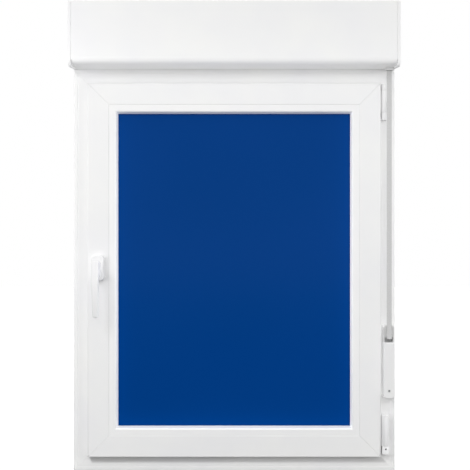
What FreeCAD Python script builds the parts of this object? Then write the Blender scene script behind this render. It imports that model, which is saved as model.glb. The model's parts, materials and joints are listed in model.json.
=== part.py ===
import FreeCAD
import Part
import Sketcher
import os
import re

# Tilt and turn window with a roller shutter box on its head, seen from the room.
# X runs to the right, Y from the room to the outside and Z up, in millimetres.
# The origin is the middle of the frame's bottom face.

SIZES = {
    # Frame profile, sawn at 45 degrees and welded
    "window_width": 800,
    "window_height": 1000,
    "frame_depth": 70,
    "frame_face_width": 45,
    "frame_lip_width": 21,
    "frame_lip_thickness": 14,
    "frame_lip_slope": 4,
    "frame_edge_radius": 2.5,
    "frame_groove_offset": 10,
    "frame_groove_width": 1.6,
    "frame_groove_depth": 0.8,
    # Sash profile, which overlaps the frame on the room side
    "sash_overlap": 8,
    "sash_proud": 18,
    "sash_face_width": 53,
    "sash_rebate_gap": 12,
    "sash_edge_radius": 3,
    "upstand_thickness": 14,
    "upstand_slope": 5,
    # Glazing bead and the insulating glass unit behind it
    "bead_height": 20,
    "bead_setback": 0.5,
    "bead_lean": 2,
    "bead_edge_radius": 3,
    "glass_edge_clearance": 5,
    "glass_thickness": 4,
    "glass_cavity": 16,
    "spacer_width": 8,
    "spacer_setback": 3,
    # Gaskets
    "room_gasket_thickness": 3.5,
    "room_gasket_width": 4.5,
    "room_gasket_setback": 1.5,
    "outer_gasket_thickness": 4,
    "outer_gasket_width": 7,
    "outer_gasket_setback": 1,
    "glazing_gasket_thickness": 3,
    "glazing_gasket_width": 6,
    "glazing_gasket_setback": 1,
    # Handle
    "handle_height": 505,
    "rosette_width": 32,
    "rosette_height": 64,
    "rosette_thickness": 11,
    "rosette_corner_radius": 11,
    "rosette_edge_radius": 3,
    "neck_diameter": 17,
    "neck_seat": 5,
    "neck_clearance": 0.05,
    "hub_gap": 5,
    "hub_width": 17,
    "hub_rise": 19,
    "hub_drop": 26,
    "hub_edge_radius": 4,
    "lever_head_rise": 21,
    "lever_head_width": 20,
    "lever_head_thickness": 14,
    "lever_head_standoff": 48,
    "lever_grip_drop": 45,
    "lever_grip_width": 16.5,
    "lever_grip_thickness": 12,
    "lever_grip_standoff": 53,
    "lever_length": 119,
    "lever_tip_width": 14,
    "lever_tip_thickness": 9,
    "lever_tip_standoff": 46,
    "lever_head_radius": 8.5,
    "lever_tip_radius": 5.5,
    "lever_edge_radius": 3.5,
    # Upper hinge
    "top_hinge_drop": 41,
    "top_hinge_cap_height": 13,
    "top_hinge_knuckle_height": 55,
    "top_hinge_foot_height": 19,
    "top_hinge_diameter": 13,
    "top_hinge_gap": 2,
    "hinge_pin_diameter": 6,
    "hinge_pin_clearance": 0.15,
    "hinge_pin_head": 2.5,
    "hinge_leaf_thickness": 3,
    "hinge_knuckle_gap": 0.3,
    # Lower hinge
    "bottom_hinge_low": 42,
    "bottom_hinge_bearing_height": 21,
    "bottom_hinge_cover_height": 79,
    "bottom_hinge_diameter": 18,
    "bottom_hinge_gap": 3,
    "cover_edge_radius": 3,
    "bearing_pin_diameter": 8,
    "bearing_pin_length": 22,
    "bearing_hole_rise": 15,
    "bearing_hole_diameter": 4,
    "bearing_hole_depth": 6,
    # Shutter box
    "box_height": 150,
    "box_room_reach": 85,
    "box_outer_reach": 40,
    "box_wall": 8,
    "box_corner_radius": 14,
    "box_corner_return": 22,
    "box_cap_width": 7,
    "box_cap_drop": 8,
    "box_cap_radius": 16,
    "outlet_width": 24,
    # Shutter
    "roll_clearance": 7,
    "roll_end_gap": 34,
    "roll_boss_diameter": 40,
    "curtain_thickness": 9,
    "end_slat_height": 52,
    "end_slat_thickness": 11,
    "end_slat_rise": 10,
    "end_slat_edge_radius": 4,
    "rail_width": 45,
    "rail_depth": 32,
    "rail_groove_depth": 28,
    "rail_slat_clearance": 0.4,
    # Pull strap and its winder
    "strap_width": 12,
    "strap_thickness": 1.2,
    "strap_inset": 17,
    "strap_standoff": 22,
    "strap_tail": 30,
    "strap_bend_run": 12,
    "strap_bend_drop": 4,
    "strap_bend_radius": 2,
    "strap_clearance": 0.3,
    "strap_guide_width": 18,
    "strap_guide_depth": 16,
    "strap_guide_height": 7,
    "strap_guide_wall": 2,
    "winder_low": 183,
    "winder_height": 181,
    "winder_width": 27,
    "winder_inset": 18.5,
    "winder_case_depth": 25,
    "winder_wall": 3,
    "winder_channel_height": 30,
    "winder_channel_floor": 20,
    "winder_slot_height": 12,
    "winder_slot_floor": 4,
    "winder_screw_rise": 20,
    "winder_screw_diameter": 6,
    "winder_screw_depth": 2.5,
    "winder_cover_thickness": 7,
    "winder_corner_radius": 9,
    "winder_edge_radius": 2.5,
}

# Places worked out from the sizes. Y places are depths and the other ones say their axis.
PLACES = {
    "room_face": "-frame_depth / 2",
    "outer_face": "frame_depth / 2",
    "lip_back": "outer_face - frame_lip_thickness",
    "sash_face": "room_face - sash_proud",
    "flange_back": "room_face - room_gasket_thickness",
    "sash_back": "lip_back - outer_gasket_thickness",
    "upstand_face": "sash_back - upstand_thickness",
    "outer_pane_back": "upstand_face - glazing_gasket_thickness",
    "outer_pane_face": "outer_pane_back - glass_thickness",
    "inner_pane_back": "outer_pane_face - glass_cavity",
    "inner_pane_face": "inner_pane_back - glass_thickness",
    "bead_back": "inner_pane_face - glazing_gasket_thickness",
    "bead_face": "sash_face + bead_setback",
    # Distances inward from the frame's outer edge
    "sash_edge": "frame_face_width - sash_overlap",
    "sash_body_edge": "frame_face_width + sash_rebate_gap",
    "bead_joint": "sash_edge + sash_face_width",
    "sight_line": "bead_joint + bead_height",
    "lip_edge": "frame_face_width + frame_lip_width",
    "glass_edge": "bead_joint + glass_edge_clearance",
    # Handle and hinge centres
    "spindle_x": "-window_width / 2 + sash_edge + sash_face_width / 2",
    "hinge_edge_x": "window_width / 2 - sash_edge",
    "top_hinge_x": "hinge_edge_x + top_hinge_gap + top_hinge_diameter / 2",
    "top_hinge_y": "room_face - hinge_leaf_thickness - top_hinge_diameter / 2",
    "top_hinge_high": "window_height - top_hinge_drop",
    "top_knuckle_high": "top_hinge_high - top_hinge_cap_height",
    "top_knuckle_low": "top_knuckle_high - top_hinge_knuckle_height",
    "top_hinge_low": "top_knuckle_low - top_hinge_foot_height",
    "bottom_hinge_x": "hinge_edge_x + bottom_hinge_gap + bottom_hinge_diameter / 2",
    "bottom_hinge_y": "room_face - hinge_leaf_thickness - bottom_hinge_diameter / 2",
    "bottom_bearing_high": "bottom_hinge_low + bottom_hinge_bearing_height",
    "bottom_cover_high": "bottom_bearing_high + bottom_hinge_cover_height",
    # Shutter box, outside and inside
    "box_front": "room_face - box_room_reach",
    "box_back": "outer_face + box_outer_reach",
    "box_high": "window_height + box_height",
    "cap_inside_x": "window_width / 2 - box_cap_width",
    "outlet_back": "box_back - box_wall",
    "outlet_front": "outlet_back - outlet_width",
    "curtain_back": "rail_middle + curtain_thickness / 2",
    "curtain_front": "rail_middle - curtain_thickness / 2",
    "roll_radius": "box_height / 2 - box_wall - roll_clearance",
    "roll_axis_y": "curtain_back - roll_radius",
    "roll_axis_z": "window_height + box_height / 2",
    "roll_end_x": "window_width / 2 - roll_end_gap",
    # Guide rails and what runs in them
    "rail_back": "outer_face + rail_depth",
    "rail_middle": "outer_face + rail_depth / 2",
    "groove_half": "end_slat_thickness / 2 + rail_slat_clearance",
    "groove_floor_x": "window_width / 2 - rail_width + rail_groove_depth",
    "slat_end_x": "groove_floor_x - rail_slat_clearance",
    # Strap and winder
    "strap_x": "window_width / 2 - strap_inset",
    "strap_y": "room_face - strap_standoff",
    "winder_x": "window_width / 2 - winder_inset",
    "winder_high": "winder_low + winder_height",
    "winder_channel_low": "winder_high - winder_channel_height",
    "winder_slot_low": "winder_channel_low - winder_slot_height",
    "winder_case_face": "room_face - winder_case_depth",
}

# How far a cutting outline reaches past the material, and how close an edge must lie to be found
CUT_MARGIN = 5
FIND_TOLERANCE = 0.01
# How squarely a face must look along an axis to count as facing that way
FACING_SHARE = 0.7

SKETCH_PLANES = {"X": ("YZ_Plane", 1), "Y": ("XZ_Plane", -1), "Z": ("XY_Plane", 1)}

TO_OUTSIDE = FreeCAD.Vector(0, 1, 0)

# For each side of the window: the way inward, where its outer edge's middle lies, and its length
SIDES = {
    "bottom": (FreeCAD.Vector(0, 0, 1), "0", "0", "window_width"),
    "top": (FreeCAD.Vector(0, 0, -1), "0", "window_height", "window_width"),
    "left": (FreeCAD.Vector(1, 0, 0), "-window_width / 2", "window_height / 2", "window_height"),
    "right": (FreeCAD.Vector(-1, 0, 0), "window_width / 2", "window_height / 2", "window_height"),
}

doc = FreeCAD.newDocument("window")
sheet = doc.addObject("Spreadsheet::Sheet", "sizes")


def fill_sheet():
    """Write each driving size to the sheet under its own name."""
    for row, (name, size) in enumerate(SIZES.items(), start=1):
        sheet.set("A{}".format(row), name)
        sheet.set("B{}".format(row), str(size))
        sheet.setAlias("B{}".format(row), name)
    doc.recompute()


def formula(text):
    """Turn a formula in plain names into an expression on the sheet."""
    def spell_out(match):
        word = match.group()
        if word in PLACES:
            return "(" + formula(PLACES[word]) + ")"
        if word in SIZES:
            return "sizes." + word
        raise ValueError("no size or place is named " + word)
    return re.sub(r"[a-z][a-z_]*", spell_out, str(text))


def value(text):
    """Give a formula's present value in millimetres."""
    return float(sheet.evalExpression(formula(text)))


def new_body(label, base=("0", "0", "0")):
    body = doc.addObject("PartDesign::Body", label)
    body.Label = label
    for axis, place in zip("xyz", base):
        body.setExpression("Placement.Base." + axis, formula(place))
    return body


def rectangle(left, low, right, high):
    return [(left, low), (right, low), (right, high), (left, high)]


def draw_polygon(sketch, corners):
    """Draw a closed outline with each corner held at its two formulas."""
    points = [FreeCAD.Vector(value(across), value(up), 0) for across, up in corners]
    first = sketch.GeometryCount
    for start, end in zip(points, points[1:] + points[:1]):
        sketch.addGeometry(Part.LineSegment(start, end), False)
    for index, (across, up) in enumerate(corners):
        line = first + index
        last_line = first + (index - 1) % len(corners)
        sketch.addConstraint(Sketcher.Constraint("Coincident", last_line, 2, line, 1))
        hold_point(sketch, line, 1, across, up)


def draw_circle(sketch, across, up, radius):
    """Draw a circle held at its centre and radius formulas."""
    centre = FreeCAD.Vector(value(across), value(up), 0)
    circle = Part.Circle(centre, FreeCAD.Vector(0, 0, 1), value(radius))
    index = sketch.addGeometry(circle, False)
    hold_point(sketch, index, 3, across, up)
    bound = sketch.addConstraint(Sketcher.Constraint("Radius", index, value(radius)))
    sketch.setExpression("Constraints[{}]".format(bound), formula(radius))


def hold_point(sketch, geometry, point, across, up):
    """Tie a point of the sketch to its distances from the sketch's origin."""
    for kind, place in (("DistanceX", across), ("DistanceY", up)):
        rule = Sketcher.Constraint(kind, -1, 1, geometry, point, value(place))
        bound = sketch.addConstraint(rule)
        sketch.setExpression("Constraints[{}]".format(bound), formula(place))


def new_sketch(body, axis, loops, start):
    """Draw loops across an axis of the body, at a place along that axis."""
    role, sense = SKETCH_PLANES[axis]
    plane = [item for item in body.Origin.OriginFeatures if item.Role == role][0]
    sketch = body.newObject("Sketcher::SketchObject", body.Label + "_sketch")
    sketch.AttachmentSupport = (plane, "")
    sketch.MapMode = "FlatFace"
    sketch.setExpression("AttachmentOffset.Base.z", formula("{} * ({})".format(sense, start)))
    for loop in loops:
        if isinstance(loop, tuple):
            draw_circle(sketch, *loop)
        else:
            draw_polygon(sketch, loop)
    return sketch


def extrude(body, axis, loops, low, high, cut=False):
    """Add or cut the loops' prism from low to high along an axis."""
    start = high if axis == "Y" else low
    sketch = new_sketch(body, axis, loops, start)
    kind = "Pocket" if cut else "Pad"
    feature = body.newObject("PartDesign::" + kind, body.Label + "_" + kind.lower())
    feature.Profile = sketch
    feature.setExpression("Length", formula("({}) - ({})".format(high, low)))
    feature.Reversed = cut
    doc.recompute()


def loft(body, sections):
    """Blend a solid through outlines that lie across Z, each at its own height."""
    sketches = [new_sketch(body, "Z", [outline], height) for outline, height in sections]
    feature = body.newObject("PartDesign::AdditiveLoft", body.Label + "_loft")
    feature.Profile = sketches[0]
    feature.Sections = sketches[1:]
    doc.recompute()


def find_edges(shape, axis, places):
    """Name the straight edges along an axis that pass through the places across it."""
    along = "XYZ".index(axis)
    across = [index for index in range(3) if index != along]
    wanted = [(value(first), value(second)) for first, second in places]
    names = []
    for number, edge in enumerate(shape.Edges, start=1):
        ends = [edge.Vertexes[0].Point, edge.Vertexes[-1].Point]
        if not isinstance(edge.Curve, Part.Line):
            continue
        for first, second in wanted:
            if all(abs(end[across[0]] - first) < FIND_TOLERANCE for end in ends):
                if all(abs(end[across[1]] - second) < FIND_TOLERANCE for end in ends):
                    names.append("Edge{}".format(number))
    return names


def face_edges(shape, axis, place):
    """Name the edges that lie in the flat face across an axis at a place."""
    along = "XYZ".index(axis)
    level = value(place)
    names = []
    for number, edge in enumerate(shape.Edges, start=1):
        box = edge.BoundBox
        low = (box.XMin, box.YMin, box.ZMin)[along]
        high = (box.XMax, box.YMax, box.ZMax)[along]
        if abs(low - level) < FIND_TOLERANCE and abs(high - level) < FIND_TOLERANCE:
            names.append("Edge{}".format(number))
    return names


def rim_edges(shape, axis):
    """Name the edges round the two faces that look along an axis, one each way."""
    along = "XYZ".index(axis)
    names = []
    for number, edge in enumerate(shape.Edges, start=1):
        faces = shape.ancestorsOfType(edge, Part.Face)
        leans = [abs(face_normal(face)[along]) for face in faces]
        if min(leans) < FACING_SHARE < max(leans):
            names.append("Edge{}".format(number))
    return names


def face_normal(face):
    """Give a face's direction at the middle of its range."""
    first, last, low, high = face.ParameterRange
    return face.normalAt((first + last) / 2, (low + high) / 2)


def soften(body, edges, radius):
    """Round the named edges of the body's last feature."""
    base = body.Tip
    feature = body.newObject("PartDesign::Fillet", body.Label + "_fillet")
    feature.Base = (base, edges)
    feature.setExpression("Radius", formula(radius))
    doc.recompute()


def mitre_triangle(end, half_length):
    """Outline the waste that the saw takes off one end of a member."""
    reach = "sight_line + {}".format(CUT_MARGIN)
    tip = "{} * ({} + {})".format(end, half_length, CUT_MARGIN)
    return [
        (tip, "-{}".format(CUT_MARGIN)),
        (tip, reach),
        ("{} * ({} - ({}))".format(end, half_length, reach), reach),
    ]


def mitred_member(label, side, outline, round_corners, radius):
    """Make one side of a ring: a profile bar sawn at 45 degrees at both ends."""
    inward, base_x, base_z, length = SIDES[side]
    body = new_body(label, (base_x, "0", base_z))
    turn = FreeCAD.Rotation(TO_OUTSIDE.cross(inward), TO_OUTSIDE, inward, "ZYX")
    body.Placement = FreeCAD.Placement(FreeCAD.Vector(), turn)
    half_length = "({} / 2)".format(length)
    extrude(body, "X", [outline], "-" + half_length, half_length)
    soften(body, find_edges(body.Tip.Shape, "X", round_corners), radius)
    waste = [mitre_triangle(1, half_length), mitre_triangle(-1, half_length)]
    low = "sash_face - {}".format(CUT_MARGIN)
    high = "outer_face + {}".format(CUT_MARGIN)
    extrude(body, "Y", waste, low, high, cut=True)


FRAME_OUTLINE = [
    ("room_face", "0"),
    ("room_face", "frame_groove_offset - frame_groove_width / 2"),
    ("room_face + frame_groove_depth", "frame_groove_offset"),
    ("room_face", "frame_groove_offset + frame_groove_width / 2"),
    ("room_face", "frame_face_width"),
    ("lip_back", "frame_face_width"),
    ("lip_back", "lip_edge"),
    ("outer_face", "lip_edge - frame_lip_slope"),
    ("outer_face", "0"),
]

SASH_OUTLINE = [
    ("sash_face", "sash_edge"),
    ("sash_face", "bead_joint"),
    ("upstand_face", "bead_joint"),
    ("upstand_face", "sight_line"),
    ("sash_back", "sight_line - upstand_slope"),
    ("sash_back", "sash_body_edge"),
    ("flange_back", "sash_body_edge"),
    ("flange_back", "sash_edge"),
]

BEAD_OUTLINE = [
    ("bead_face", "bead_joint"),
    ("bead_face", "sight_line - bead_lean"),
    ("bead_back", "sight_line"),
    ("bead_back", "bead_joint"),
]


def build_profiles():
    """Build the welded frame, the welded sash and the beads that hold the glass."""
    frame_names = {
        "top": "frame_head",
        "bottom": "frame_sill",
        "left": "frame_left_jamb",
        "right": "frame_right_jamb",
    }
    sash_names = {
        "top": "sash_top_rail",
        "bottom": "sash_bottom_rail",
        "left": "sash_handle_stile",
        "right": "sash_hinge_stile",
    }
    frame_rounds = [("room_face", "0"), ("room_face", "frame_face_width")]
    sash_rounds = [("sash_face", "sash_edge")]
    bead_rounds = [("bead_face", "sight_line - bead_lean")]
    for side in SIDES:
        mitred_member(frame_names[side], side, FRAME_OUTLINE, frame_rounds, "frame_edge_radius")
        mitred_member(sash_names[side], side, SASH_OUTLINE, sash_rounds, "sash_edge_radius")
        bead_name = "glazing_bead_" + side
        mitred_member(bead_name, side, BEAD_OUTLINE, bead_rounds, "bead_edge_radius")


def inset_rectangle(inset):
    """Outline the window's rectangle moved inward from the frame's outer edge."""
    side = "window_width / 2 - ({})".format(inset)
    return rectangle("-({})".format(side), inset, side, "window_height - ({})".format(inset))


def ring(label, outer, inner, low, high):
    body = new_body(label)
    extrude(body, "Y", [inset_rectangle(outer), inset_rectangle(inner)], low, high)


def build_glazing():
    """Build the two panes, the spacer between them and the gaskets round them."""
    for label, face in (("inner_glass_pane", "inner_pane"), ("outer_glass_pane", "outer_pane")):
        body = new_body(label)
        extrude(body, "Y", [inset_rectangle("glass_edge")], face + "_face", face + "_back")
    spacer_edge = "glass_edge + spacer_setback"
    spacer_inside = spacer_edge + " + spacer_width"
    ring("glass_spacer", spacer_edge, spacer_inside, "inner_pane_back", "outer_pane_face")
    gasket_inside = "sight_line - glazing_gasket_setback"
    gasket_edge = gasket_inside + " - glazing_gasket_width"
    ring("inner_glazing_gasket", gasket_edge, gasket_inside, "bead_back", "inner_pane_face")
    ring("outer_glazing_gasket", gasket_edge, gasket_inside, "outer_pane_back", "upstand_face")


def build_weather_gaskets():
    """Build the two seals between the sash and the frame."""
    room_edge = "sash_edge + room_gasket_setback"
    ring("sash_room_gasket", room_edge, room_edge + " + room_gasket_width", "flange_back", "room_face")
    outer_inside = "lip_edge - outer_gasket_setback"
    outer_edge = outer_inside + " - outer_gasket_width"
    ring("frame_outer_gasket", outer_edge, outer_inside, "sash_back", "lip_back")


def build_handle():
    """Build the rosette on the stile and the lever that turns in it."""
    base = ("spindle_x", "sash_face", "handle_height")
    half_width = "rosette_width / 2"
    half_height = "rosette_height / 2"
    outline = rectangle("-" + half_width, "-" + half_height, half_width, half_height)
    rosette = new_body("handle_rosette", base)
    extrude(rosette, "Y", [outline], "-rosette_thickness", "0")
    soften(rosette, find_edges(rosette.Tip.Shape, "Y", outline), "rosette_corner_radius")
    front_edges = face_edges(rosette.Tip.Shape, "Y", "-rosette_thickness")
    soften(rosette, front_edges, "rosette_edge_radius")
    seat = "-rosette_thickness + neck_seat"
    bore = ("0", "0", "neck_diameter / 2 + neck_clearance")
    extrude(rosette, "Y", [bore], "-rosette_thickness - {}".format(CUT_MARGIN), seat, cut=True)

    build_lever(base, seat)


def lever_section(part):
    """Outline the lever across its length at its head, grip or tip."""
    half_width = "lever_{}_width / 2".format(part)
    middle = "-lever_{}_standoff".format(part)
    half_thickness = "lever_{}_thickness / 2".format(part)
    return rectangle(
        "-" + half_width,
        middle + " - " + half_thickness,
        half_width,
        middle + " + " + half_thickness,
    )


def build_lever(base, seat):
    """Build the bowed lever, wide at its head and slim at its tip, on its hub and round neck."""
    lever = new_body("handle_lever", base)
    head_high = "lever_head_rise"
    tip_low = "-lever_length"
    heights = {"head": head_high, "grip": "-lever_grip_drop", "tip": tip_low}
    loft(lever, [(lever_section(part), height) for part, height in heights.items()])
    for part, height in (("head", head_high), ("tip", tip_low)):
        half_width = "lever_{}_width / 2".format(part)
        corners = [("-" + half_width, height), (half_width, height)]
        corner_edges = find_edges(lever.Tip.Shape, "Y", corners)
        soften(lever, corner_edges, "lever_{}_radius".format(part))
    soften(lever, rim_edges(lever.Tip.Shape, "Y"), "lever_edge_radius")
    hub_back = "-rosette_thickness - hub_gap"
    half_hub = "hub_width / 2"
    hub_top = "hub_rise - " + half_hub
    hub_foot = "-hub_drop + " + half_hub
    hub_loops = (
        rectangle("-" + half_hub, hub_foot, half_hub, hub_top),
        ("0", hub_top, half_hub),
        ("0", hub_foot, half_hub),
    )
    for loop in hub_loops:
        extrude(lever, "Y", [loop], "-lever_head_standoff", hub_back)
    soften(lever, face_edges(lever.Tip.Shape, "Y", hub_back), "hub_edge_radius")
    neck = ("0", "0", "neck_diameter / 2")
    extrude(lever, "Y", [neck], hub_back + " - hub_edge_radius", seat + " - neck_clearance")


def build_top_hinge():
    """Build the frame bearing, the sash knuckle between its ends and the pin."""
    centre = ("top_hinge_x", "top_hinge_y")
    barrel = centre + ("top_hinge_diameter / 2",)
    bore = centre + ("hinge_pin_diameter / 2 + hinge_pin_clearance",)
    leaf_left = "top_hinge_x - top_hinge_diameter / 2"
    leaf_right = "top_hinge_x + top_hinge_diameter / 2"
    leaf_face = "room_face - hinge_leaf_thickness"
    web = rectangle(leaf_left, "top_hinge_y", leaf_right, leaf_face)
    leaf = rectangle(leaf_left, leaf_face, leaf_right, "room_face")

    bearing = new_body("top_hinge_bearing")
    extrude(bearing, "Z", [leaf], "top_hinge_low", "top_hinge_high")
    foot_high = "top_knuckle_low - hinge_knuckle_gap"
    cap_low = "top_knuckle_high + hinge_knuckle_gap"
    for low, high in (("top_hinge_low", foot_high), (cap_low, "top_hinge_high")):
        extrude(bearing, "Z", [web], low, high)
        extrude(bearing, "Z", [barrel], low, high)
    extrude(bearing, "Z", [bore], "top_hinge_low + hinge_pin_head", "top_hinge_high", cut=True)

    knuckle = new_body("top_hinge_knuckle")
    arm_back = leaf_face + " - hinge_knuckle_gap"
    arm = rectangle("hinge_edge_x", "top_hinge_y", "top_hinge_x", arm_back)
    extrude(knuckle, "Z", [barrel], "top_knuckle_low", "top_knuckle_high")
    extrude(knuckle, "Z", [arm], "top_knuckle_low", "top_knuckle_high")
    extrude(knuckle, "Z", [bore], "top_knuckle_low", "top_knuckle_high", cut=True)

    pin = new_body("top_hinge_pin")
    shank = centre + ("hinge_pin_diameter / 2",)
    head_high = "top_hinge_high + hinge_pin_head"
    extrude(pin, "Z", [shank], "top_hinge_low + hinge_pin_head", "top_hinge_high")
    extrude(pin, "Z", [barrel], "top_hinge_high", head_high)
    soften(pin, face_edges(pin.Tip.Shape, "Z", head_high), "hinge_pin_head / 2")


def build_bottom_hinge():
    """Build the corner bearing on the frame and the covered band on the sash."""
    centre = ("bottom_hinge_x", "bottom_hinge_y")
    barrel = centre + ("bottom_hinge_diameter / 2",)
    left = "bottom_hinge_x - bottom_hinge_diameter / 2"
    right = "bottom_hinge_x + bottom_hinge_diameter / 2"
    pin_high = "bottom_bearing_high + bearing_pin_length"

    bearing = new_body("bottom_hinge_bearing")
    foot = rectangle(left, "bottom_hinge_y", right, "room_face")
    extrude(bearing, "Z", [barrel], "bottom_hinge_low", "bottom_bearing_high")
    soften(bearing, face_edges(bearing.Tip.Shape, "Z", "bottom_hinge_low"), "cover_edge_radius")
    extrude(bearing, "Z", [foot], "bottom_hinge_low + cover_edge_radius", "bottom_bearing_high")
    extrude(bearing, "Z", [centre + ("bearing_pin_diameter / 2",)], "bottom_bearing_high", pin_high)
    hole_z = "bottom_hinge_low + bearing_hole_rise"
    hole = ("bottom_hinge_x", hole_z, "bearing_hole_diameter / 2")
    hole_front = "bottom_hinge_y - bottom_hinge_diameter / 2"
    hole_floor = hole_front + " + bearing_hole_depth"
    extrude(bearing, "Y", [hole], hole_front + " - {}".format(CUT_MARGIN), hole_floor, cut=True)

    cover = new_body("bottom_hinge_cover")
    cover_low = "bottom_bearing_high + hinge_knuckle_gap"
    arm_back = "room_face - hinge_leaf_thickness"
    arm = rectangle("hinge_edge_x", "bottom_hinge_y", "bottom_hinge_x", arm_back)
    extrude(cover, "Z", [barrel], cover_low, "bottom_cover_high")
    soften(cover, face_edges(cover.Tip.Shape, "Z", "bottom_cover_high"), "cover_edge_radius")
    extrude(cover, "Z", [arm], cover_low, "bottom_cover_high - cover_edge_radius")
    bore = centre + ("bearing_pin_diameter / 2 + hinge_pin_clearance",)
    extrude(cover, "Z", [bore], "bottom_bearing_high", pin_high + " + hinge_knuckle_gap", cut=True)


def build_box():
    """Build the hollow shutter box: four panels between two end caps."""
    floor = "window_height + box_wall"
    inside = "box_front + box_wall"
    outer_corner = ("box_front", "window_height")
    inner_corner = (inside, floor)
    front = [
        outer_corner,
        ("box_front + box_corner_return", "window_height"),
        ("box_front + box_corner_return", floor),
        inner_corner,
        (inside, "box_high"),
        ("box_front", "box_high"),
    ]
    ceiling = "box_high - box_wall"
    underside = rectangle("box_front + box_corner_return", "window_height", "outlet_front", floor)
    top = rectangle(inside, ceiling, "outlet_back", "box_high")
    outer = rectangle("outlet_back", "window_height", "box_back", "box_high")
    panels = {
        "box_front_panel": front,
        "box_underside_panel": underside,
        "box_top_panel": top,
        "box_outer_panel": outer,
    }
    for label, outline in panels.items():
        extrude(new_body(label), "X", [outline], "-cap_inside_x", "cap_inside_x")
    front_panel = doc.getObject("box_front_panel")
    soften(front_panel, find_edges(front_panel.Tip.Shape, "X", [outer_corner]), "box_corner_radius")
    inner_edges = find_edges(front_panel.Tip.Shape, "X", [inner_corner])
    soften(front_panel, inner_edges, "box_corner_radius - box_wall")
    slot = strap_hole()
    extrude(doc.getObject("box_underside_panel"), "Z", [slot], "window_height", floor, cut=True)

    cap = [
        ("box_front", "window_height - box_cap_drop"),
        ("room_face", "window_height"),
        ("box_back", "window_height"),
        ("box_back", "box_high"),
        ("box_front", "box_high"),
    ]
    boss = ("roll_axis_y", "roll_axis_z", "roll_boss_diameter / 2")
    ends = {
        "box_left_end_cap": ("-window_width / 2", "-cap_inside_x", "-cap_inside_x", "-roll_end_x"),
        "box_right_end_cap": ("cap_inside_x", "window_width / 2", "roll_end_x", "cap_inside_x"),
    }
    for label, (cap_low, cap_high, boss_low, boss_high) in ends.items():
        end_cap = new_body(label)
        extrude(end_cap, "X", [cap], cap_low, cap_high)
        soften(end_cap, find_edges(end_cap.Tip.Shape, "X", cap[:1]), "box_cap_radius")
        extrude(end_cap, "X", [boss], boss_low, boss_high)


def build_shutter():
    """Build the rolled-up curtain, its end slat and the two guide rails outside."""
    slat_high = "window_height + end_slat_rise"
    slat_low = slat_high + " - end_slat_height"
    curtain = new_body("rolled_curtain")
    roll = ("roll_axis_y", "roll_axis_z", "roll_radius")
    tail = rectangle("curtain_front", slat_high, "curtain_back", "roll_axis_z")
    for loop in (roll, tail):
        extrude(curtain, "X", [loop], "-roll_end_x", "roll_end_x")

    slat = new_body("shutter_end_slat")
    slat_front = "rail_middle - end_slat_thickness / 2"
    slat_back = "rail_middle + end_slat_thickness / 2"
    section = rectangle(slat_front, slat_low, slat_back, slat_high)
    extrude(slat, "X", [section], "-slat_end_x", "slat_end_x")
    low_edges = find_edges(slat.Tip.Shape, "X", [(slat_front, slat_low), (slat_back, slat_low)])
    soften(slat, low_edges, "end_slat_edge_radius")

    for label, sign in (("left_guide_rail", "-1"), ("right_guide_rail", "1")):
        outside, mouth, deep = [
            "{} * ({})".format(sign, place)
            for place in ("window_width / 2", "window_width / 2 - rail_width", "groove_floor_x")
        ]
        outline = [
            (outside, "outer_face"),
            (outside, "rail_back"),
            (mouth, "rail_back"),
            (mouth, "rail_middle + groove_half"),
            (deep, "rail_middle + groove_half"),
            (deep, "rail_middle - groove_half"),
            (mouth, "rail_middle - groove_half"),
            (mouth, "outer_face"),
        ]
        extrude(new_body(label), "Z", [outline], "0", "window_height")


def around_strap(width, depth):
    """Outline a rectangle of some width and depth with its middle on the strap."""
    return rectangle(
        "strap_x - ({}) / 2".format(width),
        "strap_y - ({}) / 2".format(depth),
        "strap_x + ({}) / 2".format(width),
        "strap_y + ({}) / 2".format(depth),
    )


def strap_hole():
    """Outline the hole that the strap passes through."""
    return around_strap("strap_width + 2 * strap_clearance", "strap_thickness + 2 * strap_clearance")


def build_strap():
    """Build the strap from the box into the winder's slot, and its guide under the box."""
    strap = new_body("pull_strap")
    front = "strap_y - strap_thickness / 2"
    back = "strap_y + strap_thickness / 2"
    strap_high = "window_height + strap_tail"
    bend_high = "winder_channel_low - strap_bend_drop"
    bend_low = bend_high + " - strap_thickness"
    strap_end = back + " + strap_bend_run"
    side_view = [
        (front, strap_high),
        (back, strap_high),
        (back, bend_high),
        (strap_end, bend_high),
        (strap_end, bend_low),
        (front, bend_low),
    ]
    left = "strap_x - strap_width / 2"
    right = "strap_x + strap_width / 2"
    extrude(strap, "X", [side_view], left, right)
    outer_edges = find_edges(strap.Tip.Shape, "X", [(front, bend_low)])
    soften(strap, outer_edges, "strap_bend_radius + strap_thickness")
    inner_edges = find_edges(strap.Tip.Shape, "X", [(back, bend_high)])
    soften(strap, inner_edges, "strap_bend_radius")

    guide = new_body("strap_guide")
    rim = around_strap("strap_guide_width", "strap_guide_depth")
    both_walls = "2 * strap_guide_wall"
    mouth = around_strap("strap_guide_width - " + both_walls, "strap_guide_depth - " + both_walls)
    guide_low = "window_height - strap_guide_height"
    extrude(guide, "Z", [rim, mouth], guide_low, "window_height")


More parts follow.
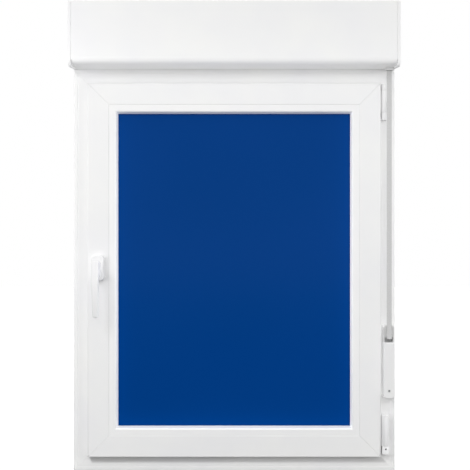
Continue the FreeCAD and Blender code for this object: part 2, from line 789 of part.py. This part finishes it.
def build_winder():
    """Build the winder's case on the jamb and the cover over its lower part."""
    left = "winder_x - winder_width / 2"
    right = "winder_x + winder_width / 2"
    outline = rectangle(left, "winder_low", right, "winder_high")
    case = new_body("winder_case")
    extrude(case, "Y", [outline], "winder_case_face", "room_face")
    soften(case, find_edges(case.Tip.Shape, "Y", outline), "winder_corner_radius")
    past_face = "winder_case_face - {}".format(CUT_MARGIN)
    past_top = "winder_high + {}".format(CUT_MARGIN)
    cuts = (
        ("winder_channel_low", past_top, "room_face - winder_channel_floor"),
        ("winder_slot_low", "winder_channel_low", "room_face - winder_slot_floor"),
    )
    for low, high, floor in cuts:
        opening = rectangle(left + " + winder_wall", low, right + " - winder_wall", high)
        extrude(case, "Y", [opening], past_face, floor, cut=True)

    cover = new_body("winder_cover")
    cover_face = "winder_case_face - winder_cover_thickness"
    front_view = rectangle(left, "winder_low", right, "winder_slot_low")
    extrude(cover, "Y", [front_view], cover_face, "winder_case_face")
    soften(cover, find_edges(cover.Tip.Shape, "Y", outline[:2]), "winder_corner_radius")
    soften(cover, face_edges(cover.Tip.Shape, "Y", cover_face), "winder_edge_radius")
    screw_hole = ("winder_x", "winder_low + winder_screw_rise", "winder_screw_diameter / 2")
    past_cover = cover_face + " - {}".format(CUT_MARGIN)
    extrude(cover, "Y", [screw_hole], past_cover, cover_face + " + winder_screw_depth", cut=True)


def sub_parts():
    return [item for item in doc.Objects if item.TypeId == "PartDesign::Body"]


def check_model():
    """Stop if a feature failed, a cut missed or a piece is not one sound solid."""
    doc.recompute()
    for item in doc.Objects:
        if "Invalid" in item.State or "Error" in item.State:
            raise RuntimeError("feature failed: " + item.Name)
        if item.TypeId == "PartDesign::Pocket":
            if item.Shape.Volume >= item.BaseFeature.Shape.Volume:
                raise RuntimeError("cut took nothing off: " + item.Name)
    for body in sub_parts():
        shape = body.Shape
        if shape.isNull() or not shape.isValid() or len(shape.Solids) != 1:
            raise RuntimeError("not one sound solid: " + body.Label)


def write_parts():
    os.makedirs("parts", exist_ok=True)
    for body in sub_parts():
        body.Shape.exportStep(os.path.join("parts", body.Label + ".step"))


fill_sheet()
build_profiles()
build_glazing()
build_weather_gaskets()
build_handle()
build_top_hinge()
build_bottom_hinge()
build_box()
build_shutter()
build_strap()
build_winder()
check_model()
write_parts()
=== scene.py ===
import bmesh
import bpy
import json
import math
from mathutils import Matrix, Vector


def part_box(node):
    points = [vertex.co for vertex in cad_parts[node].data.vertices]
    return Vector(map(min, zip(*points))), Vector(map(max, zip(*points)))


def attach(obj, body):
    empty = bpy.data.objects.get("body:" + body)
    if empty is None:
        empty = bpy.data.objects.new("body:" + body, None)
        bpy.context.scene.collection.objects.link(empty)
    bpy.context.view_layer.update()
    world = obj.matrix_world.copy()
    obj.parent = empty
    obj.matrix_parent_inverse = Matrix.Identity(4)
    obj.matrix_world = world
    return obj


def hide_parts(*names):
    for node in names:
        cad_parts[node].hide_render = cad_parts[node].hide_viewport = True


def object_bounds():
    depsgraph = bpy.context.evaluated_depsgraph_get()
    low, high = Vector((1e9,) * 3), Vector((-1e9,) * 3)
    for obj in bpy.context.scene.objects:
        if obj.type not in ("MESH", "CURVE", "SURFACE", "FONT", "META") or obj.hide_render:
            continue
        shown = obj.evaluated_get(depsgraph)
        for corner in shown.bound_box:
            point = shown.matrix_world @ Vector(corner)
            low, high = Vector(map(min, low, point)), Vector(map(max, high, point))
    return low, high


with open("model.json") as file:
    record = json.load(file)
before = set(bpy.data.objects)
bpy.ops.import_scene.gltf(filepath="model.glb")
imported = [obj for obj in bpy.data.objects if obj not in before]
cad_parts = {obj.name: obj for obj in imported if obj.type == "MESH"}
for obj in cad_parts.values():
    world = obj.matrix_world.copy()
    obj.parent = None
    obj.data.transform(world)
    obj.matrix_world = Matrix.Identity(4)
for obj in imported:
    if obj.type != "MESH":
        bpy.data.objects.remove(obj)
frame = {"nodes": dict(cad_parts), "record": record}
cad_low, cad_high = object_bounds()
nodes = frame["nodes"]

MM = 0.001
IMAGE_SIZE = 470

# Where the photograph was taken from: level, in front of the window's middle
FRAME_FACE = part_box("frame_head")[0].y
CAMERA_DISTANCE = 2.304
CAMERA_HEIGHT = 0.587
CAMERA_SIDE = 0.002
MM_PER_PIXEL = 2.494
SENSOR_MM = 36.0

WINDOW = "window"

# Eased edges of the CAD pieces. On the seamed families they also open the weld grooves and joints
WELD_REACH = 0.01 * MM
FINE_EDGE = 0.4 * MM
SEAM_EDGES = {"box": 1.1 * MM, "sash": 1.3 * MM, "frame": 0.4 * MM}
EDGE_SEGMENTS = 2
EDGE_ANGLE = math.radians(40)

# Webbing of the strap, and the curve by which it turns into the winder
STRAP_THICKNESS = 1.2 * MM
STRAP_BEND_RADIUS = 2.6 * MM
STRAP_YARNS = 8
STRAP_COLUMNS_PER_YARN = 3
STRAP_ROW = 0.8 * MM
YARN_HEIGHT = 0.22 * MM
YARN_PITCH = 2.4 * MM
YARN_CROWN = 0.7
YARN_DIP = 0.3
LAST_YARN_SLACK = 0.001

# Screws
SCREW_SIDES = 24
SCREW_QUARTERS = 4
SCREW_SLOT_SHARE = 0.3
SCREW_CROWN_SHARE = 0.9
WINDER_SCREW_RADIUS = 2.6 * MM
WINDER_SCREW_DEPTH = 1.2 * MM
WINDER_SCREW_RISE = 20 * MM
WINDER_SCREW_INSET = 2.4 * MM
BEARING_SCREW_RADIUS = 1.9 * MM
BEARING_SCREW_DEPTH = 5.5 * MM
BEARING_SCREW_RISE = 15 * MM
BEARING_SCREW_INSET = 5.9 * MM

# Materials: where a blend of two colours starts and ends, and how far gloss varies on plastic
BLEND_START = 0.3
BLEND_END = 0.7
GLOSS_SWING = 0.05

# Floor and world
WHITE = (1, 1, 1, 1)
FLOOR_REACH = 8.0
FLOOR_DROP = 0.5 * MM
FLOOR_LEVEL = 110
FLOOR_GLOW = 0.9
WORLD_LIGHT = 0.6
WORLD_SEEN = 1.0

# Lamps that share a place or a form, in metres
WINDOW_MIDDLE = (0, 0, 0.6)
SIDE_SIZE = (1.2, 1.6)
KEY_PLACE = (-1.4, -2.0, 2.1)
KEY_TARGET = (0, 0, 0.5)
KEY_SIZE = (0.5, 0.5)
EDGE_SIZE = (0.3, 1.4)
RIGHT_EDGE_PLACE = (1.0, -1.0, 0.6)
RIGHT_EDGE_TARGET = (0.38, 0, 0.6)

# Lamps of the glazing beads, each across the pane from its bead: way across, way up and watts
BEAD_FILLS = {
    "left": (-1, 0, 1.5),
    "right": (1, 0, 1.5),
    "top": (0, 1, 1.2),
    "bottom": (0, -1, 1.5),
}
BEAD_FILL_ACROSS = 0.25
BEAD_FILL_FRONT = -0.1
BEAD_FILL_UP = 0.3
BEAD_ACROSS = 0.31
BEAD_FRONT = -0.04
BEAD_UP = 0.39
UPRIGHT_BEAD_SIZE = (0.1, 0.7)
LEVEL_BEAD_SIZE = (0.5, 0.1)


def linear(level):
    """Turn a screen level from 0 to 255 into linear light, by the sRGB curve."""
    share = level / 255
    return share / 12.92 if share <= 0.04045 else ((share + 0.055) / 1.055) ** 2.4


def colour(red, green, blue):
    return (linear(red), linear(green), linear(blue), 1.0)


def grey(level):
    return colour(level, level, level)


def new_material(name, base, roughness, specular=0.5, metallic=0.0):
    """Start a material and give back its tree and its shader."""
    material = bpy.data.materials.new(name)
    material.use_nodes = True
    tree = material.node_tree
    shader = tree.nodes["Principled BSDF"]
    shader.inputs["Base Color"].default_value = base
    shader.inputs["Roughness"].default_value = roughness
    shader.inputs["Specular IOR Level"].default_value = specular
    shader.inputs["Metallic"].default_value = metallic
    return material, tree, shader


def noise(tree, scale, detail=3.0):
    """Noise in the object's own space, at so many cells a metre."""
    place = tree.nodes.new("ShaderNodeTexCoord").outputs["Object"]
    texture = tree.nodes.new("ShaderNodeTexNoise")
    texture.inputs["Scale"].default_value = scale
    texture.inputs["Detail"].default_value = detail
    tree.links.new(place, texture.inputs["Vector"])
    return texture.outputs["Fac"]


def vary_roughness(tree, shader, source, low, high):
    """Let a 0 to 1 source move the roughness through a range."""
    node = tree.nodes.new("ShaderNodeMapRange")
    node.inputs["To Min"].default_value = low
    node.inputs["To Max"].default_value = high
    tree.links.new(source, node.inputs["Value"])
    tree.links.new(node.outputs["Result"], shader.inputs["Roughness"])


def mottle(tree, shader, source, dark, light):
    """Let a 0 to 1 source blend two colours on the surface."""
    ramp = tree.nodes.new("ShaderNodeValToRGB")
    first, last = ramp.color_ramp.elements
    first.color, last.color = dark, light
    first.position, last.position = BLEND_START, BLEND_END
    tree.links.new(source, ramp.inputs["Fac"])
    tree.links.new(ramp.outputs["Color"], shader.inputs["Base Color"])


def bump(tree, shader, source, height):
    """Raise the surface by a source, to a height in metres."""
    node = tree.nodes.new("ShaderNodeBump")
    node.inputs["Strength"].default_value = 1.0
    node.inputs["Distance"].default_value = height
    tree.links.new(source, node.inputs["Height"])
    tree.links.new(node.outputs["Normal"], shader.inputs["Normal"])


def plastic(name, level, roughness, grain=0.02 * MM):
    """White moulded or extruded plastic: an even colour with a faint flow and a fine skin."""
    material, tree, shader = new_material(name, grey(level), roughness, specular=0.4)
    mottle(tree, shader, noise(tree, scale=9.0, detail=2.0),
           dark=colour(level - 2, level - 2, level - 1),
           light=colour(level + 1, level + 1, level))
    vary_roughness(tree, shader, noise(tree, scale=60.0),
                   low=roughness - GLOSS_SWING, high=roughness + GLOSS_SWING)
    bump(tree, shader, noise(tree, scale=900.0, detail=2.0), height=grain)
    return material


def painted_metal(name, level):
    """White powder coat with its fine orange peel."""
    material, tree, shader = new_material(name, grey(level), roughness=0.32)
    mottle(tree, shader, noise(tree, scale=30.0),
           dark=colour(level - 3, level - 3, level - 2), light=grey(level))
    vary_roughness(tree, shader, noise(tree, scale=150.0), low=0.27, high=0.38)
    bump(tree, shader, noise(tree, scale=700.0, detail=1.0), height=0.03 * MM)
    return material


def blue_pane():
    """Deep blue glazing that mirrors only faintly."""
    material, tree, shader = new_material("blue_pane", colour(1, 58, 128), 0.12, specular=0.03)
    mottle(tree, shader, noise(tree, scale=2.0, detail=1.0),
           dark=colour(0, 57, 126), light=colour(2, 59, 130))
    vary_roughness(tree, shader, noise(tree, scale=5.0), low=0.10, high=0.16)
    return material


def rubber_seal():
    """Grey gasket rubber."""
    material, tree, shader = new_material("rubber_seal", colour(150, 151, 153), 0.7, specular=0.3)
    mottle(tree, shader, noise(tree, scale=120.0),
           dark=colour(140, 141, 143), light=colour(160, 161, 163))
    bump(tree, shader, noise(tree, scale=1500.0), height=0.05 * MM)
    return material


def spacer_metal():
    """Bright metal of the glass spacer and the winder's screw."""
    material, tree, shader = new_material("spacer_metal", colour(190, 192, 194), 0.4, metallic=1.0)
    mottle(tree, shader, noise(tree, scale=300.0),
           dark=colour(180, 182, 184), light=colour(196, 198, 200))
    return material


def dark_steel_and_hole_shade():
    """Near-black screw steel: its darkness is partly the steel and partly painted shade of the hole
    the screw sits in.
    """
    material, tree, shader = new_material("dark_steel_and_hole_shade", colour(32, 32, 34), 0.5, metallic=1.0)
    mottle(tree, shader, noise(tree, scale=800.0),
           dark=colour(24, 24, 26), light=colour(40, 40, 42))
    return material


def webbing():
    """Light grey woven strap."""
    material, tree, shader = new_material("webbing", grey(208), roughness=0.85, specular=0.2)
    mottle(tree, shader, noise(tree, scale=900.0), dark=grey(198), light=grey(216))
    bump(tree, shader, noise(tree, scale=2500.0), height=0.1 * MM)
    return material


MATERIALS = {
    "pvc_white": plastic("pvc_white", level=246, roughness=0.42),
    "pane_blue": blue_pane(),
    "spacer_metal": spacer_metal(),
    "seal_grey": rubber_seal(),
    "handle_white": painted_metal("handle_white", level=243),
    "hinge_white": painted_metal("hinge_white", level=243),
    "box_white": plastic("box_white", level=245, roughness=0.45),
    "shutter_white": plastic("shutter_white", level=240, roughness=0.55, grain=0.04 * MM),
    "strap_grey": webbing(),
    "winder_white": plastic("winder_white", level=242, roughness=0.38),
}


def dress_node(name, slot):
    """Give a CAD node its finish and an eased edge."""
    piece = nodes[name]
    piece.data.materials.clear()
    piece.data.materials.append(MATERIALS[slot])
    weld = piece.modifiers.new("weld", "WELD")
    weld.merge_threshold = WELD_REACH
    ease = piece.modifiers.new("ease", "BEVEL")
    family = name.split("_")[0]
    seamed = family in SEAM_EDGES and slot != "seal_grey"
    ease.width = SEAM_EDGES[family] if seamed else FINE_EDGE
    ease.use_clamp_overlap = not seamed
    ease.segments = EDGE_SEGMENTS
    ease.limit_method = "ANGLE"
    ease.angle_limit = EDGE_ANGLE
    ease.harden_normals = True


for subpart in frame["record"]["subparts"]:
    dress_node(subpart["node"], subpart["material_slot"])


def add_piece(name, form, slot, finish=None):
    """Turn a finished form into a piece on the window, in its slot's finish or its own."""
    mesh = bpy.data.meshes.new(name)
    bmesh.ops.recalc_face_normals(form, faces=form.faces)
    form.to_mesh(mesh)
    form.free()
    piece = bpy.data.objects.new(name, mesh)
    bpy.context.scene.collection.objects.link(piece)
    mesh.materials.append(finish or MATERIALS[slot])
    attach(piece, WINDOW)
    return piece


def prism(form, outline, start, rise):
    """Add a closed prism: an outline at a start point, swept by a rise vector."""
    low = [form.verts.new(Vector(point) + Vector(start)) for point in outline]
    high = [form.verts.new(vert.co + Vector(rise)) for vert in low]
    form.faces.new(low)
    form.faces.new(high)
    for index, vert in enumerate(low):
        after = (index + 1) % len(low)
        form.faces.new((vert, low[after], high[after], high[index]))


def weave_height(across, along):
    """Height of the webbing's surface: lengthwise yarns that dip under every other row."""
    yarn = math.floor(min(across, STRAP_YARNS - LAST_YARN_SLACK))
    ridge = math.sqrt(abs(math.sin(math.pi * across)))
    row = math.sin(2 * math.pi * (along + yarn / 2))
    return ridge * (YARN_CROWN + YARN_DIP * row)


def strap_path(low, high, rows):
    """Rows of the strap's middle line, each with its length run and the way its face looks."""
    face = low.y + STRAP_THICKNESS / 2
    foot = low.z + STRAP_THICKNESS / 2
    drop = high.z - foot - STRAP_BEND_RADIUS
    bend = STRAP_BEND_RADIUS * math.pi / 2
    run = high.y - face - STRAP_BEND_RADIUS
    for row in range(rows + 1):
        along = (drop + bend + run) * row / rows
        turn = min(max((along - drop) / STRAP_BEND_RADIUS, 0), math.pi / 2)
        looks = Vector((0, -math.cos(turn), -math.sin(turn)))
        middle = Vector((0, face + STRAP_BEND_RADIUS, foot + STRAP_BEND_RADIUS))
        middle += looks * STRAP_BEND_RADIUS
        middle.z += max(drop - along, 0)
        middle.y += max(along - drop - bend, 0)
        yield middle, along, looks


def build_strap():
    """The pull strap as a woven band, in the place of its plain solid."""
    low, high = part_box("pull_strap")
    columns = STRAP_YARNS * STRAP_COLUMNS_PER_YARN
    rows = round((high.z - low.z) / STRAP_ROW)
    core = STRAP_THICKNESS / 2 - YARN_HEIGHT
    form = bmesh.new()
    loops = []
    for middle, along, looks in strap_path(low, high, rows):
        loop = []
        for side in (1, -1):
            for step in range(columns + 1):
                share = step / columns if side > 0 else 1 - step / columns
                weave = weave_height(share * STRAP_YARNS, along / YARN_PITCH)
                point = middle + looks * side * (core + YARN_HEIGHT * weave)
                point.x = low.x + (high.x - low.x) * share
                loop.append(form.verts.new(point))
        loops.append(loop)
    for upper, lower in zip(loops, loops[1:]):
        for index in range(len(lower)):
            after = (index + 1) % len(lower)
            form.faces.new((lower[index], lower[after], upper[after], upper[index]))
    form.faces.new(loops[0])
    form.faces.new(loops[-1])
    strap = add_piece("woven_strap", form, "strap_grey")
    for face in strap.data.polygons:
        face.use_smooth = True
    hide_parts("pull_strap")
    return strap


def build_screw(name, centre, radius, depth, finish=None):
    """A screw that faces the room: a disc with four raised quarters that leave a cross."""
    form = bmesh.new()
    rise = Vector((0, -depth / 2, 0))
    turns = [2 * math.pi * step / SCREW_SIDES for step in range(SCREW_SIDES)]
    rim = [(radius * math.cos(turn), 0, radius * math.sin(turn)) for turn in turns]
    prism(form, rim, centre, rise)
    half_slot = radius * SCREW_SLOT_SHARE / 2
    crown = radius * SCREW_CROWN_SHARE
    first = math.asin(half_slot / crown)
    steps = SCREW_SIDES // SCREW_QUARTERS
    sector = [(half_slot, 0, half_slot)]
    for step in range(steps + 1):
        turn = first + (math.pi / 2 - 2 * first) * step / steps
        sector.append((crown * math.cos(turn), 0, crown * math.sin(turn)))
    for quarter in range(SCREW_QUARTERS):
        spin = Matrix.Rotation(quarter * math.pi / 2, 3, "Y")
        outline = [spin @ Vector(point) for point in sector]
        prism(form, outline, Vector(centre) + rise, rise)
    add_piece(name, form, "spacer_metal", finish)


def screw_place(low, high, inset, rise):
    """A point midway across a box, so far behind its face and above its foot."""
    return ((low.x + high.x) / 2, low.y + inset, low.z + rise)


def build_screws():
    cover_low, cover_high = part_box("winder_cover")
    place = screw_place(cover_low, cover_high, WINDER_SCREW_INSET, WINDER_SCREW_RISE)
    build_screw("winder_screw", place, WINDER_SCREW_RADIUS, WINDER_SCREW_DEPTH)
    bearing_low, bearing_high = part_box("bottom_hinge_bearing")
    place = screw_place(bearing_low, bearing_high, BEARING_SCREW_INSET, BEARING_SCREW_RISE)
    # The bearing's screw is painted near black, partly standing in for the shade inside its hole
    build_screw("bearing_screw", place, BEARING_SCREW_RADIUS, BEARING_SCREW_DEPTH, dark_steel_and_hole_shade())


woven_strap = build_strap()
build_screws()


def build_camera():
    lens = bpy.data.cameras.new("camera")
    camera = bpy.data.objects.new("camera", lens)
    bpy.context.scene.collection.objects.link(camera)
    camera.location = (CAMERA_SIDE, FRAME_FACE - CAMERA_DISTANCE, CAMERA_HEIGHT)
    camera.rotation_euler = (math.radians(90), 0, 0)
    half_view = IMAGE_SIZE * MM_PER_PIXEL * MM / 2
    lens.sensor_width = SENSOR_MM
    lens.lens = SENSOR_MM / 2 * CAMERA_DISTANCE / half_view
    bpy.context.scene.camera = camera


def build_floor():
    """A pale floor that keeps the window's shadow and shows white to the eye."""
    mesh = bpy.data.meshes.new("floor")
    corners = [(-1, -1), (1, -1), (1, 1), (-1, 1)]
    corners = [(FLOOR_REACH * across, FLOOR_REACH * deep, 0) for across, deep in corners]
    mesh.from_pydata(corners, [], [(0, 1, 2, 3)])
    floor = bpy.data.objects.new("floor", mesh)
    bpy.context.scene.collection.objects.link(floor)
    floor.location.z = cad_low.z - FLOOR_DROP
    material, tree, shader = new_material("floor", grey(FLOOR_LEVEL), roughness=0.9, specular=0.1)
    path = tree.nodes.new("ShaderNodeLightPath")
    glow = tree.nodes.new("ShaderNodeMath")
    glow.operation = "MULTIPLY"
    glow.inputs[1].default_value = FLOOR_GLOW
    tree.links.new(path.outputs["Is Camera Ray"], glow.inputs[0])
    shader.inputs["Emission Color"].default_value = WHITE
    tree.links.new(glow.outputs[0], shader.inputs["Emission Strength"])
    mesh.materials.append(material)


def build_world():
    """White to the eye and to mirrors, and a plain soft light on the object."""
    world = bpy.data.worlds.new("world")
    bpy.context.scene.world = world
    world.use_nodes = True
    tree = world.node_tree
    tree.nodes.clear()
    output = tree.nodes.new("ShaderNodeOutputWorld")
    mix = tree.nodes.new("ShaderNodeMixShader")
    lighting = tree.nodes.new("ShaderNodeBackground")
    lighting.inputs["Strength"].default_value = WORLD_LIGHT
    seen = tree.nodes.new("ShaderNodeBackground")
    seen.inputs["Strength"].default_value = WORLD_SEEN
    for shader in (lighting, seen):
        shader.inputs["Color"].default_value = WHITE
    path = tree.nodes.new("ShaderNodeLightPath")
    shown = path.outputs["Is Camera Ray"]
    for ray in ("Is Glossy Ray", "Is Transmission Ray"):
        either = tree.nodes.new("ShaderNodeMath")
        either.operation = "MAXIMUM"
        tree.links.new(shown, either.inputs[0])
        tree.links.new(path.outputs[ray], either.inputs[1])
        shown = either.outputs[0]
    tree.links.new(shown, mix.inputs["Fac"])
    tree.links.new(lighting.outputs[0], mix.inputs[1])
    tree.links.new(seen.outputs[0], mix.inputs[2])
    tree.links.new(mix.outputs[0], output.inputs["Surface"])


def gather(name, pieces, state):
    """Group pieces that a light keeps to or leaves out."""
    group = bpy.data.collections.new(name)
    for piece in pieces:
        group.objects.link(piece)
    for item in group.collection_objects:
        item.light_linking.link_state = state
    return group


def soft_light(name, place, target, size, watts, lit=(), unlit=(), passed=()):
    """Aim a lamp. It may keep to the lit pieces or leave out the unlit, and pass through some."""
    lamp = bpy.data.lights.new(name, "AREA")
    lamp.shape = "RECTANGLE"
    lamp.size, lamp.size_y = size
    lamp.energy = watts
    light = bpy.data.objects.new(name, lamp)
    bpy.context.scene.collection.objects.link(light)
    light.location = place
    aim = Vector(target) - Vector(place)
    light.rotation_euler = aim.to_track_quat("-Z", "Y").to_euler()
    light.visible_glossy = False
    light.visible_camera = False
    linking = light.light_linking
    if lit:
        linking.receiver_collection = gather(name + "_lit", lit, "INCLUDE")
    if unlit:
        linking.receiver_collection = gather(name + "_unlit", unlit, "EXCLUDE")
    if passed:
        linking.blocker_collection = gather(name + "_passed", passed, "EXCLUDE")


def nodes_named(start):
    return [nodes[name] for name in nodes if name.startswith(start)]


def build_soft_boxes(panes, boxes, sill, case, strap_gear):
    """Large lamps at both sides, in front and behind, and a key at the upper left."""
    lever, rosette = nodes["handle_lever"], nodes["handle_rosette"]
    soft_light("left_side", place=(-2.6, -1.6, 0.8), target=WINDOW_MIDDLE, size=SIDE_SIZE,
               watts=30, unlit=panes + [case, sill], passed=[lever])
    soft_light("left_key", place=KEY_PLACE, target=KEY_TARGET, size=KEY_SIZE,
               watts=12, unlit=panes)
    soft_light("right_side", place=(2.6, -1.6, 0.8), target=WINDOW_MIDDLE, size=SIDE_SIZE,
               watts=33, unlit=panes + [case], passed=strap_gear + [lever, rosette])
    soft_light("front", place=(0, -3.4, 1.6), target=WINDOW_MIDDLE, size=(1.8, 1.0),
               watts=12, unlit=panes + boxes + [sill])
    soft_light("back", place=(-1.0, 3.0, 1.6), target=WINDOW_MIDDLE, size=(1.5, 1.5),
               watts=50)


def build_fills(panes, boxes, sill, case, strap_gear):
    """Lamps that keep to single pieces."""
    bottom_hinge = nodes_named("bottom_hinge_")
    hinges = nodes_named("top_hinge_") + bottom_hinge
    soft_light("sill_key", place=KEY_PLACE, target=KEY_TARGET, size=KEY_SIZE,
               watts=38, lit=[sill])
    soft_light("pane_fill", place=(0, -3.4, 0.9), target=WINDOW_MIDDLE, size=(2.4, 2.0),
               watts=84, lit=panes)
    soft_light("box_lift", place=(0, -0.36, 0.38), target=(0, -0.1, 1.0), size=(1.4, 0.2),
               watts=1.1, lit=boxes)
    soft_light("box_edge_fill", place=(0, -0.25, 0.82), target=(0, -0.11, 1.0), size=(1.4, 0.05),
               watts=0.26, lit=boxes)
    soft_light("head_fill", place=(-0.55, -0.2, 0.93), target=(-0.38, -0.05, 0.98), size=(0.1, 0.1),
               watts=0.08, lit=boxes + [nodes["frame_head"]])
    soft_light("left_edge_fill", place=(-1.0, -1.0, 0.5), target=(-0.38, 0, 0.5), size=EDGE_SIZE,
               watts=1.4, lit=[nodes["frame_left_jamb"]])
    soft_light("right_edge_fill", place=RIGHT_EDGE_PLACE, target=RIGHT_EDGE_TARGET, size=EDGE_SIZE,
               watts=1.2, lit=[nodes["frame_right_jamb"]], passed=hinges + strap_gear)
    soft_light("hinge_fill", place=RIGHT_EDGE_PLACE, target=RIGHT_EDGE_TARGET, size=EDGE_SIZE,
               watts=2.6, lit=bottom_hinge, passed=strap_gear)
    soft_light("winder_fill", place=(0.38, -0.5, 1.1), target=(0.38, -0.05, 0.33), size=(0.2, 0.2),
               watts=1.5, lit=[case])
    soft_light("handle_fill", place=(0.9, -0.4, 0.5), target=(-0.33, -0.09, 0.5), size=(0.2, 0.4),
               watts=4, lit=[nodes["handle_lever"]])


def build_bead_fills():
    """Lamps that keep to one glazing bead each."""
    middle = (cad_low.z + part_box("frame_head")[1].z) / 2
    for side, (across, up, watts) in BEAD_FILLS.items():
        place = (-BEAD_FILL_ACROSS * across, BEAD_FILL_FRONT, middle - BEAD_FILL_UP * up)
        target = (BEAD_ACROSS * across, BEAD_FRONT, middle + BEAD_UP * up)
        size = UPRIGHT_BEAD_SIZE if across else LEVEL_BEAD_SIZE
        soft_light(side + "_bead_fill", place, target, size, watts,
                   lit=[nodes["glazing_bead_" + side]])


def build_lights():
    panes = [nodes["inner_glass_pane"], nodes["outer_glass_pane"]]
    boxes = nodes_named("box_")
    sill, case = nodes["frame_sill"], nodes["winder_case"]
    strap_gear = [case, nodes["winder_cover"], woven_strap]
    build_soft_boxes(panes, boxes, sill, case, strap_gear)
    build_fills(panes, boxes, sill, case, strap_gear)
    build_bead_fills()


build_camera()
build_floor()
build_world()
build_lights()

bpy.context.scene.view_settings.view_transform = "Standard"
